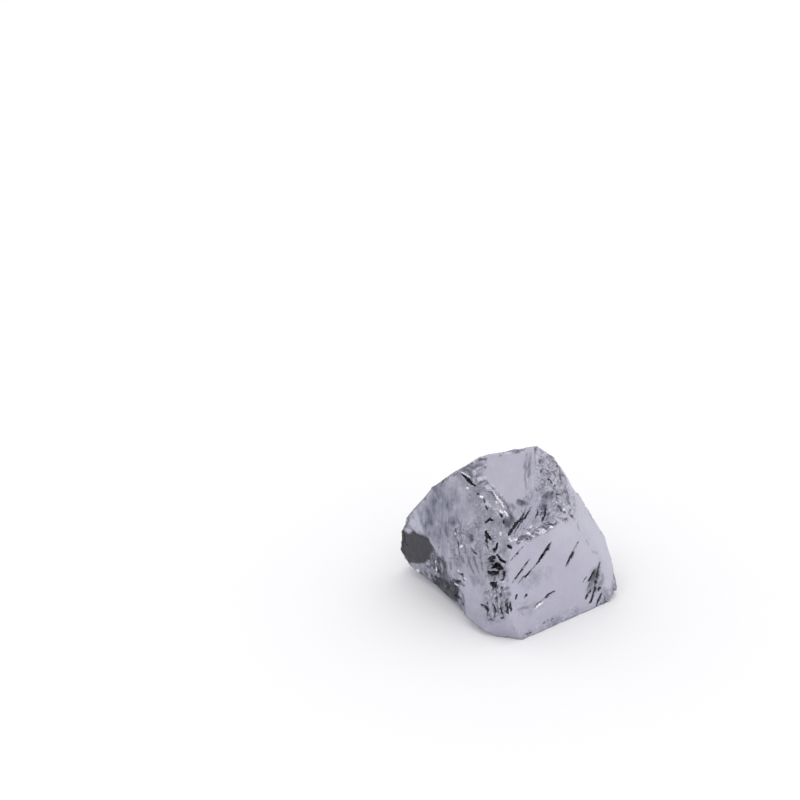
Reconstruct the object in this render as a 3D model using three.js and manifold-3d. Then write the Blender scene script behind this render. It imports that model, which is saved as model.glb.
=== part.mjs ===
// One lump of raw terahertz stone: bright grey polycrystalline silicon, as it broke from a larger block.
// Flat fracture faces meet at sharp, nicked edges. A stepped hollow with a rough floor lies across the
// upper front, dark slits run over the big front face, and the seam beside that face is pitted.
// Millimetres, +Z up, the front towards -Y, the origin under the middle of the stone, on its foot.

import * as THREE from "three";
import { ConvexGeometry } from "three/addons/geometries/ConvexGeometry.js";
import { mergeVertices } from "three/addons/utils/BufferGeometryUtils.js";
import Module from "manifold-3d";

const wasm = await Module();
wasm.setup();

// The fracture faces, each measured from the heart of the stone. Facing is 0 to the front and 90 to the
// right, tilt is upwards, both in degrees, and reach is the distance from the heart in millimetres.
const HEART_HEIGHT = 17;
const FACES = {
  frontRight: { facing: 38, tilt: 14, reach: 10.0 },
  frontLeft: { facing: -50, tilt: 12, reach: 10.9 },
  upperFront: { facing: -16, tilt: 43, reach: 10.6 },
  roughHollow: { facing: 54.5, tilt: 27, reach: 10.8 },
  rightBevel: { facing: 67.5, tilt: 24.6, reach: 11.73 },
  leftBrow: { facing: -23, tilt: 34, reach: 10.65 },
  frontUnder: { facing: -14, tilt: -12, reach: 19.5 },
  leftUnder: { facing: -64, tilt: -61.4, reach: 19.6 },
  leftLower: { facing: -69.8, tilt: -22.7, reach: 20.25 },
  top: { facing: -162, tilt: 57, reach: 11.3 },
  topRight: { facing: 126, tilt: 48.5, reach: 13.1 },
  leftShoulder: { facing: -131, tilt: 46, reach: 12.0 },
  leftBack: { facing: -120.5, tilt: 35.5, reach: 14.0 },
  leftEnd: { facing: -110, tilt: 13.6, reach: 19.2 },
  rightBack: { facing: 119, tilt: 29.3, reach: 12.0 },
  rightSide: { facing: 102, tilt: 4.8, reach: 18.4 },
  back: { facing: 176, tilt: 8, reach: 18.1 },
  backLeft: { facing: -136, tilt: 12, reach: 16.8 },
  backTop: { facing: 168, tilt: 42, reach: 16.3 },
  foot: { facing: 0, tilt: -90, reach: HEART_HEIGHT },
};
const BLOCK_SIDE = 90; // the block that the faces are broken out of
const CLEARANCE = 2; // how far a cut stands clear of the face that it starts from
const WELD = 1e-5; // corners closer than this are one corner

// Places on a face are across and up from the face's middle, in millimetres.
// Slits in the big front face: start, end, width and depth.
const FRONT_SLITS = [
  { from: [0.8, -3.7], to: [-4.0, -7.4], width: 0.6, depth: 0.6 },
  { from: [-3.4, -7.1], to: [-9.0, -9.7], width: 0.4, depth: 0.4 },
  { from: [-4.9, -5.6], to: [-9.9, -8.6], width: 0.4, depth: 0.4 },
  { from: [7.5, -5.8], to: [3.0, -9.7], width: 0.5, depth: 0.45 },
  { from: [11.9, -11.7], to: [9.5, -15.8], width: 0.6, depth: 0.6 },
  { from: [10.2, -12.9], to: [7.3, -16.7], width: 0.7, depth: 0.6 },
  { from: [11.9, -14.7], to: [9.4, -17.8], width: 0.6, depth: 0.6 },
  { from: [0.2, -13.5], to: [-2.8, -14.1], width: 0.45, depth: 0.35 },
  { from: [-5.8, -15.1], to: [-2.6, -14.2], width: 0.4, depth: 0.3 },
  { from: [-5.9, -2.7], to: [-9.6, -4.6], width: 0.35, depth: 0.3 },
  { from: [-11.1, -10.0], to: [-11.6, -13.8], width: 0.5, depth: 0.5 },
];

// Stepped hollows and broken-off facets: the rim of each one, and its deepest points with their depths.
const STEPS = [
  {
    face: "frontRight",
    rim: [
      [5.1, -0.7], [1.5, -1.3], [-3.0, -1.8], [-8.4, -1.5], [-9.5, 1.0], [-5.5, 5.5], [-1.0, 8.0], [4.5, 4.0],
      [6.5, 0.4],
    ],
    deep: [[-7.0, -0.7, 0.7], [-3.0, -0.9, 1.3], [1.3, -0.4, 1.3], [4.0, -0.1, 0.7]],
  },
  {
    face: "upperFront",
    rim: [
      [-5.4, 1.8], [-2.6, 1.4], [-0.9, 1.0], [1.2, -1.0], [2.3, -2.9], [2.2, -4.5], [-3.0, -3.0], [-7.0, 1.0],
    ],
    deep: [[-2.4, 0.9, 0.5], [-0.9, 0.5, 0.6], [0.7, -1.2, 0.7], [1.7, -2.9, 0.6]],
  },
  {
    face: "frontLeft",
    rim: [[6.4, -4.0], [8.0, -2.7], [9.6, -3.8], [10.0, -6.6], [8.4, -7.7], [6.7, -6.2]],
    deep: [[7.9, -4.6, 1.5], [8.6, -6.3, 1.3]],
  },
  {
    face: "frontLeft",
    rim: [[-21.0, -8.0], [-8.5, -8.0], [-8.5, -22.0], [-25.0, -22.0]],
    deep: [[-8.5, -22.0, 5.04], [-25.0, -22.0, 5.04]],
  },
  {
    face: "frontLeft",
    rim: [[-8.6, -8.0], [2.0, -13.9], [4.0, -22.0], [-8.6, -22.0]],
    deep: [[4.0, -22.0, 2.52], [-8.6, -22.0, 5.04]],
  },
  {
    face: "frontLeft",
    rim: [[-19.5, -8.0], [-19.0, -3.6], [-14.6, -3.9], [-13.0, -6.0], [-13.5, -7.4]],
    deep: [[-19.5, -7.8, 0.7], [-19.0, -4.2, 0.7]],
  },
  {
    face: "frontRight",
    rim: [[12.1, -21.5], [13.3, -19.0], [17.5, -18.4], [17.5, -21.5]],
    deep: [[12.9, -21.5, 2.4], [14.2, -19.6, 2.4], [17.5, -18.8, 3.0], [17.5, -21.5, 3.0]],
  },
  {
    face: "back",
    rim: [[-10, -4], [-3, -8], [5, -7], [10, -2], [6, 5], [-3, 6]],
    deep: [[-5, -4.6, 1.3], [2.5, -5.4, 1.5]],
  },
  {
    face: "rightBack",
    rim: [[-7, -1], [-1, -5], [6, -4], [7, 2], [0, 5]],
    deep: [[-2, -3.0, 1.0], [3, -2.6, 1.2]],
  },
  {
    face: "backLeft",
    rim: [[-6, 4], [-1, 7], [5, 5], [4, -2], [-3, -3]],
    deep: [[0, 5.2, 1.1]],
  },
];

// The rough face over the front hollow, whose pits go down to the hollow's floor at its lower end, and the
// grooves in that floor.
const HOLLOW_FLOOR = { bottom: -3.4, top: 2, depth: 0.8 };
const HOLLOW_GROOVES = [
  { from: [-2.8, 4.1], to: [-7.2, 0.9], width: 1.1, depth: 1.2 },
  { from: [0.4, 2.4], to: [-0.9, 0.3], width: 0.9, depth: 1.6 },
];
const HACKLE = { count: 56, across: [-3.5, 6.5], up: [-3.4, 11], radius: [0.6, 1.5], depth: [0.15, 0.55] };

// The left front face: its crack, its upright lines and the pits beside the seam.
const LEFT_CRACKS = [
  { from: [-3.7, -2.9], to: [-0.5, -8.3], width: 0.6, depth: 0.4 },
  { from: [4.4, 0.2], to: [6.2, -3.1], width: 0.7, depth: 0.5 },
  { from: [6.0, -2.0], to: [9.1, -4.3], width: 1.1, depth: 0.9 },
  { from: [7.1, -3.1], to: [9.6, -7.6], width: 1.3, depth: 1.1 },
  { from: [7.7, -12.4], to: [9.1, -15.3], width: 0.8, depth: 0.6 },
  { from: [9.4, -9.5], to: [11.2, -15.0], width: 1.0, depth: 0.8 },
  { from: [10.8, -10.4], to: [12.3, -14.0], width: 0.8, depth: 0.6 },
];
const UPRIGHT_LINES = {
  count: 18, across: [-12, 7], up: [-9, 6], length: [2, 6], lean: [-0.3, 0.9],
  width: [0.2, 0.4], depth: [0.06, 0.16],
};
const BROW_GROOVES = [
  { from: [-9.3, 4.7], to: [-5.2, 1.6], width: 0.8, depth: 0.5 },
  { from: [3.3, 9.5], to: [4.3, 1.9], width: 0.5, depth: 0.25 },
  { from: [2.5, 0.0], to: [4.3, -0.4], width: 0.9, depth: 0.35 },
  { from: [4.0, -2.5], to: [2.3, -6.2], width: 0.8, depth: 0.6 },
];

// Pitted seams: the one between the two front faces, and the broken rim of the front hollow.
const SEAMS = [
  { face: "frontLeft", from: [9.5, -0.5], to: [13.6, -16.5], pits: 15, spread: 0.9, size: [0.5, 1.1] },
  { face: "frontRight", from: [5.2, -0.7], to: [-3.0, -1.8], pits: 11, spread: 0.4, size: [0.4, 0.8] },
  { face: "frontRight", from: [-3.0, -1.8], to: [-9.0, -1.2], pits: 8, spread: 0.4, size: [0.4, 0.8] },
];

// Shallow rounded scars where shells of stone sprang off: place, width and depth.
const SCARS = [
  { face: "back", at: [-6, 3], width: 17, depth: 0.8 },
  { face: "backLeft", at: [-2, -5], width: 15, depth: 0.8 },
  { face: "backTop", at: [1, -1], width: 11, depth: 0.5 },
  { face: "rightSide", at: [-2, -6], width: 12, depth: 0.6 },
  { face: "rightBack", at: [2, 7], width: 13, depth: 0.6 },
  { face: "leftEnd", at: [-1, -8], width: 9, depth: 0.5 },
  { face: "leftBack", at: [1, 6], width: 10, depth: 0.4 },
];
const SCAR_DETAIL = 16; // facets along each side of the ball that a scar is cut with

// Rough lines that run through the unseen faces, and the nicks along every edge.
const BACK_FACES = [
  "back", "backLeft", "backTop", "rightBack", "rightSide", "leftEnd", "leftBack", "topRight",
];
const BACK_LINES = {
  perFace: 4, place: [-9, 9], fan: [-0.3, 0.3], length: [3, 8], width: [0.5, 1.1], depth: [0.25, 0.6],
};
const NICKS = {
  spacing: 6.5, size: [0.2, 0.65], stretch: [1.5, 3.5], lean: [-0.4, 0.4], shift: [-0.4, 0.4], sharpest: 14,
};

// The form of a slit, as shares of its length, its half width and its depth: a lens with one steep side.
const SLIT_RIM = [[0, 0], [0.3, 1], [0.65, 1], [1, 0], [0.7, -1], [0.35, -1]];
const SLIT_DEEP = [[0.35, 0.4, 1], [0.65, 0.3, 0.8]];

// The form of a ragged pit: its corners, and shares of its radius for its rim and its off-centre deep point.
const PIT = { corners: [4, 7], wander: [0, 0.5], rim: [0.6, 1], aside: [-0.35, 0.35] };

const SEED = 9;

// A repeatable stream of numbers between 0 and 1.
function seededRandom(seed) {
  let state = seed;
  return () => {
    state = (state + 0x6d2b79f5) | 0;
    let bits = Math.imul(state ^ (state >>> 15), 1 | state);
    bits = (bits + Math.imul(bits ^ (bits >>> 7), 61 | bits)) ^ bits;
    return ((bits ^ (bits >>> 14)) >>> 0) / 2 ** 32;
  };
}

const random = seededRandom(SEED);
const between = ([low, high]) => low + (high - low) * random();

// A closed three.js geometry as a solid, and a solid as a geometry again.
function solidFrom(geometry) {
  const bare = geometry.clone();
  bare.deleteAttribute("normal");
  bare.deleteAttribute("uv");
  const merged = mergeVertices(bare, WELD);
  const vertProperties = new Float32Array(merged.attributes.position.array);
  const triVerts = new Uint32Array(merged.index.array);
  return new wasm.Manifold(new wasm.Mesh({ numProp: 3, vertProperties, triVerts }));
}

function geometryFrom(solid) {
  const mesh = solid.getMesh();
  const geometry = new THREE.BufferGeometry();
  geometry.setAttribute("position", new THREE.BufferAttribute(mesh.vertProperties, 3));
  geometry.setIndex(new THREE.BufferAttribute(mesh.triVerts, 1));
  return geometry;
}

// The frame of a face: across to the right, up along the face, and out of the stone.
function frameOf(faceName) {
  const { facing, tilt, reach } = FACES[faceName];
  const turn = THREE.MathUtils.degToRad(facing);
  const lean = THREE.MathUtils.degToRad(tilt);
  const out = new THREE.Vector3(
    Math.sin(turn) * Math.cos(lean), -Math.cos(turn) * Math.cos(lean), Math.sin(lean));
  const across = new THREE.Vector3(Math.cos(turn), Math.sin(turn), 0);
  const up = new THREE.Vector3().crossVectors(out, across);
  const middle = new THREE.Vector3(0, 0, HEART_HEIGHT).addScaledVector(out, reach);
  return new THREE.Matrix4().makeBasis(across, up, out).setPosition(middle);
}

// Everything outside one face.
function outsideOf(faceName) {
  const slab = new THREE.BoxGeometry(2 * BLOCK_SIDE, 2 * BLOCK_SIDE, BLOCK_SIDE);
  slab.translate(0, 0, BLOCK_SIDE / 2);
  return solidFrom(slab.applyMatrix4(frameOf(faceName)));
}

// A chip out of a face: upright walls above its rim, and flat flanks from the rim down to its deep points.
function chip(faceName, rim, deep) {
  const points = [
    ...rim.map(([across, up]) => new THREE.Vector3(across, up, 0)),
    ...rim.map(([across, up]) => new THREE.Vector3(across, up, CLEARANCE)),
    ...deep.map(([across, up, depth]) => new THREE.Vector3(across, up, -depth)),
  ];
  return solidFrom(new ConvexGeometry(points).applyMatrix4(frameOf(faceName)));
}

// A slit: a long lens whose floor lies nearer to one side, so that one wall is steep.
function slit(faceName, { from, to, width, depth }) {
  const start = new THREE.Vector2(...from);
  const run = new THREE.Vector2(...to).sub(start);
  const side = new THREE.Vector2(-run.y, run.x).setLength(width / 2);
  const at = (along, aside) => (
    start.clone().addScaledVector(run, along).addScaledVector(side, aside).toArray());
  const rim = SLIT_RIM.map(([along, aside]) => at(along, aside));
  const deep = SLIT_DEEP.map(([along, aside, share]) => [...at(along, aside), depth * share]);
  return chip(faceName, rim, deep);
}

// A rough little pit: a ragged rim round a place on the face, its deepest point off the middle.
function raggedPit(faceName, [across, up], radius, depth) {
  const corners = Math.floor(between(PIT.corners));
  const turn = random() * 2 * Math.PI;
  const rim = Array.from({ length: corners }, (_, corner) => {
    const angle = turn + (corner + between(PIT.wander)) * 2 * Math.PI / corners;
    const distance = radius * between(PIT.rim);
    return [across + distance * Math.cos(angle), up + distance * Math.sin(angle)];
  });
  const deep = [across + radius * between(PIT.aside), up + radius * between(PIT.aside), depth];
  return chip(faceName, rim, [deep]);
}

// A shallow rounded scar, cut by a ball that is wide enough to leave the width and depth asked for.
function scar({ face, at, width, depth }) {
  const radius = (width * width / 4 + depth * depth) / (2 * depth);
  const ball = new THREE.IcosahedronGeometry(radius, SCAR_DETAIL);
  ball.rotateX(random()).rotateY(random());
  ball.translate(at[0], at[1], radius - depth);
  return solidFrom(ball.applyMatrix4(frameOf(face)));
}

// The sharp edges of a solid, each once, as a pair of end points.
function sharpEdges(solid) {
  const edges = new THREE.EdgesGeometry(geometryFrom(solid), NICKS.sharpest).attributes.position;
  return Array.from({ length: edges.count / 2 }, (_, index) => [
    new THREE.Vector3().fromBufferAttribute(edges, 2 * index),
    new THREE.Vector3().fromBufferAttribute(edges, 2 * index + 1),
  ]);
}

// Small broken nicks, spaced unevenly along an edge: turned octahedra, drawn out along it.
function nicksAlong([start, end]) {
  const run = end.clone().sub(start);
  const count = Math.floor(run.length() / NICKS.spacing + random());
  return Array.from({ length: count }, (_, index) => {
    const along = (index + random()) / count;
    const size = between(NICKS.size);
    const nick = new THREE.OctahedronGeometry(size).scale(between(NICKS.stretch), 1, 1);
    nick.rotateX(random() * Math.PI).rotateY(between(NICKS.lean)).rotateZ(between(NICKS.lean));
    const direction = run.clone().normalize();
    const turn = new THREE.Quaternion().setFromUnitVectors(new THREE.Vector3(1, 0, 0), direction);
    const middle = start.clone().addScaledVector(run, along);
    middle.x += between(NICKS.shift) * size;
    middle.y += between(NICKS.shift) * size;
    return solidFrom(nick.applyQuaternion(turn).translate(middle.x, middle.y, middle.z));
  });
}

// The rough face over the hollow: ragged pits, deeper towards the hollow at its lower end.
function hackle() {
  return Array.from({ length: HACKLE.count }, () => {
    const place = [between(HACKLE.across), between(HACKLE.up)];
    const rise = (place[1] - HOLLOW_FLOOR.bottom) / (HOLLOW_FLOOR.top - HOLLOW_FLOOR.bottom);
    const floor = HOLLOW_FLOOR.depth * THREE.MathUtils.clamp(1 - rise, 0, 1);
    return raggedPit("roughHollow", place, between(HACKLE.radius), floor + between(HACKLE.depth));
  });
}

// Fine upright lines in the left front face.
function uprightLines() {
  return Array.from({ length: UPRIGHT_LINES.count }, () => {
    const from = [between(UPRIGHT_LINES.across), between(UPRIGHT_LINES.up)];
    const to = [from[0] + between(UPRIGHT_LINES.lean), from[1] - between(UPRIGHT_LINES.length)];
    const width = between(UPRIGHT_LINES.width);
    return slit("frontLeft", { from, to, width, depth: between(UPRIGHT_LINES.depth) });
  });
}

// The pits along one seam.
function seamPits({ face, from, to, pits, spread, size }) {
  const start = new THREE.Vector2(...from);
  const run = new THREE.Vector2(...to).sub(start);
  return Array.from({ length: pits }, (_, index) => {
    const place = start.clone().addScaledVector(run, (index + random()) / pits);
    place.x += between([-spread, spread]);
    place.y += between([-spread, spread]);
    const radius = between(size);
    return raggedPit(face, place.toArray(), radius, radius);
  });
}

// Rough lines that spread over one unseen face.
function backLines(faceName) {
  const lead = random() * Math.PI;
  return Array.from({ length: BACK_LINES.perFace }, () => {
    const angle = lead + between(BACK_LINES.fan);
    const length = between(BACK_LINES.length);
    const from = [between(BACK_LINES.place), between(BACK_LINES.place)];
    const to = [from[0] + length * Math.cos(angle), from[1] + length * Math.sin(angle)];
    return slit(faceName, { from, to, width: between(BACK_LINES.width), depth: between(BACK_LINES.depth) });
  });
}

// The stone: a block broken down to its faces, then scarred, stepped, slit, pitted and nicked.
function stoneSolid() {
  const block = new THREE.BoxGeometry(BLOCK_SIDE, BLOCK_SIDE, BLOCK_SIDE);
  const body = Object.keys(FACES).reduce(
    (rest, faceName) => rest.subtract(outsideOf(faceName)), solidFrom(block));
  const cuts = [
    ...SCARS.map(scar),
    ...STEPS.map(({ face, rim, deep }) => chip(face, rim, deep)),
    ...hackle(),
    ...HOLLOW_GROOVES.map((groove) => slit("frontRight", groove)),
    ...FRONT_SLITS.map((groove) => slit("frontRight", groove)),
    ...LEFT_CRACKS.map((groove) => slit("frontLeft", groove)),
    ...BROW_GROOVES.map((groove) => slit("upperFront", groove)),
    ...uprightLines(),
    ...SEAMS.flatMap(seamPits),
    ...BACK_FACES.flatMap(backLines),
    ...sharpEdges(body).flatMap(nicksAlong),
  ];
  return cuts.reduce((rest, cut) => rest.subtract(cut), body);
}

// The finished geometry, moved so that the origin is under the middle of its box.
function stoneGeometry() {
  const geometry = geometryFrom(stoneSolid());
  geometry.computeBoundingBox();
  const middle = geometry.boundingBox.getCenter(new THREE.Vector3());
  geometry.translate(-middle.x, -middle.y, -geometry.boundingBox.min.z);
  geometry.computeVertexNormals();
  return geometry;
}

const silicon = new THREE.MeshStandardMaterial({
  color: 0xb4b2c2, roughness: 0.25, metalness: 0.9, flatShading: true,
});
const stone = new THREE.Mesh(stoneGeometry(), silicon);
stone.name = "stone";

const part = new THREE.Group();
part.add(stone);
export default part;
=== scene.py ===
"""Raw terahertz stone: one broken lump of bright grey silicon, standing on a plain pale floor.

The stone is one surface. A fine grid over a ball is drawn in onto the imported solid, so its faces, steps, slits
and pits keep their places, and each fracture face then gets the fine relief that its kind of break leaves.
"""

import bpy
import numpy as np
from bpy.props import FloatProperty, FloatVectorProperty, IntProperty, PointerProperty
from bpy.types import Operator, Panel, PropertyGroup
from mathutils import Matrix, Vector


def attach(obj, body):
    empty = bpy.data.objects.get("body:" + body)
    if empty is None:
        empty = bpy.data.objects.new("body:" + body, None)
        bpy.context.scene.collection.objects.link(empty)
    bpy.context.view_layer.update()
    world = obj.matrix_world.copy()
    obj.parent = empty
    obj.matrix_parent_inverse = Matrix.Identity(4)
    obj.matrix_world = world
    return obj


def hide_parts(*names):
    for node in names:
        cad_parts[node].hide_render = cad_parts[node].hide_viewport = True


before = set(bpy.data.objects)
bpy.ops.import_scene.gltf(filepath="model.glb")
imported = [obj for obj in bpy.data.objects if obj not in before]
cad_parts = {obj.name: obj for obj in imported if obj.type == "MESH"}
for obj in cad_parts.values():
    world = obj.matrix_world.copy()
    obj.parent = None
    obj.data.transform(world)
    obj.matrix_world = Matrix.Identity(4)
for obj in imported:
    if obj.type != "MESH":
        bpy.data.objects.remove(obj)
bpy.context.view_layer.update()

bl_info = {
    "name": "Raw terahertz stone",
    "version": (1, 0, 0),
    "blender": (4, 5, 0),
    "location": "3D View > Sidebar > Stone",
    "description": "Builds a broken lump of bright grey silicon and a plain studio round it",
    "category": "Object",
}

MM = 0.001

# The heart of the stone, from which its fracture faces are measured, in millimetres in the row frame.
HEART = np.array((0.15, -1.71, 17.0))

# Each fracture face: facing (0 to the front, 90 to the right), tilt upwards and reach from the heart, then its
# kind of break and the direction of its streaks on the face, in degrees. These repeat the solid's own faces.
FACES = (
    ("front_right", 38, 14, 10.0, "mirror", 40),
    ("front_left", -50, 12, 10.9, "lined", 98),
    ("upper_front", -16, 43, 10.6, "mirror", 100),
    ("rough_hollow", 54.5, 27, 10.8, "hackly", 45),
    ("right_bevel", 67.5, 24.6, 11.73, "mirror", 70),
    ("left_brow", -23, 34, 10.65, "swirled", 110),
    ("front_under", -14, -12, 19.5, "mirror", 80),
    ("left_under", -64, -61.4, 19.6, "lined", 30),
    ("left_lower", -69.8, -22.7, 20.25, "lined", 60),
    ("top", -162, 57, 11.3, "shell", 20),
    ("top_right", 126, 48.5, 13.1, "lined", 60),
    ("left_shoulder", -131, 46, 12.0, "shell", 75),
    ("left_back", -120.5, 35.5, 14.0, "lined", 80),
    ("left_end", -110, 13.6, 19.2, "hackly", 60),
    ("right_back", 119, 29.3, 12.0, "shell", 35),
    ("right_side", 102, 4.8, 18.4, "hackly", 100),
    ("back", 176, 8, 18.1, "shell", 55),
    ("back_left", -136, 12, 16.8, "shell", 120),
    ("back_top", 168, 42, 16.3, "shell", 60),
    ("foot", 0, -90, 17.0, "ground", 0),
)

# Facets that are cut into one of the faces, given in the same way, and the face.
CUTS = (
    ("left_facet", -50, -7.8, 12.97, "streaked", 95),
    ("left_slope", -60.8, -7.7, 14.33, "streaked", 95),
    ("left_chip", -55.1, 8.1, 12.39, "mirror", 60),
)
CUT_FACE = "front_left"
CUT_NEAR = 0.1  # a point this near to a cut's plane is on it
CUT_DEEP = 0.05  # and this deep under the face that it is cut into

# Creases that are worn round, and the depth in millimetres over which each one is.
SOFT_CREASES = (
    ("front_left", "left_brow", 1.6),
    ("upper_front", "rough_hollow", 0.5),
    ("front_right", "right_bevel", 0.9),
    ("rough_hollow", "right_bevel", 0.6),
)
SOFT_ROUNDS = 60  # how often their points are evened out

# Kinds of break. Swell, streak and facet are heights in millimetres, and the others are shares from 0 to 1: how
# lined and how crystalline the finish is, how dull its polish, how far its tone goes to slate and how far to black.
BREAKS = {
    "mirror": {"swell": 0.03, "streak": 0.015, "facet": 0.008, "lined": 0.2, "crystal": 0.02, "dull": 0.0,
               "slate": 0.07, "dark": 0.0},
    "shell": {"swell": 0.14, "streak": 0.05, "facet": 0.01, "lined": 0.35, "crystal": 0.03, "dull": 0.1,
              "slate": 0.08, "dark": 0.0},
    "lined": {"swell": 0.06, "streak": 0.04, "facet": 0.02, "lined": 1.0, "crystal": 0.1, "dull": 0.45,
              "slate": 0.26, "dark": 0.0},
    "swirled": {"swell": 0.06, "streak": 0.05, "facet": 0.05, "lined": 0.7, "crystal": 0.3, "dull": 0.35,
                "slate": 0.25, "dark": 0.0},
    "hackly": {"swell": 0.06, "streak": 0.05, "facet": 0.18, "lined": 0.3, "crystal": 0.8, "dull": 0.15,
               "slate": 0.28, "dark": 0.0},
    "streaked": {"swell": 0.05, "streak": 0.12, "facet": 0.12, "lined": 1.0, "crystal": 0.6, "dull": 0.35,
                 "slate": 0.7, "dark": 0.0},
    "ground": {"swell": 0.0, "streak": 0.0, "facet": 0.0, "lined": 0.3, "crystal": 0.3, "dull": 1.0,
               "slate": 0.5, "dark": 0.1},
}
CHIPPED = {"facet": 0.09, "crystal": 0.5, "slate": 0.3}  # what chipped edges have of these at least
CHIP_REACH = 0.7  # how deep the chips of an edge reach, in millimetres
CHIP_LENGTH = 2.6  # and how long they are
CHIP_GAPS = 0.6  # how far the edges are clear of chips on the whole
CHIP_RUNS = 1.2  # and how far that goes up and down along them

# Stray marks on faces that don't show, by kind of break: how many a face has, and their lengths, widths and depth
# in millimetres.
SCATTER = {
    "shell": (6, (2.0, 6.0), (0.2, 0.35), 0.3),
    "lined": (18, (1.5, 6.0), (0.1, 0.22), 0.12),
    "hackly": (12, (0.6, 2.5), (0.2, 0.4), 0.25),
}
SCATTER_DEPTHS = (0.5, 1)  # they go down by these shares of that depth
SCATTER_REACH = 15.0  # they start this near to the middle of their face, in millimetres
SCATTER_FAN = 9.0  # and run within this many degrees of its streaks

ROUGH = {"slate": 0.28, "crystal": 0.85, "facet": 0.18}  # what a rough corner of a smooth face has

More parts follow.
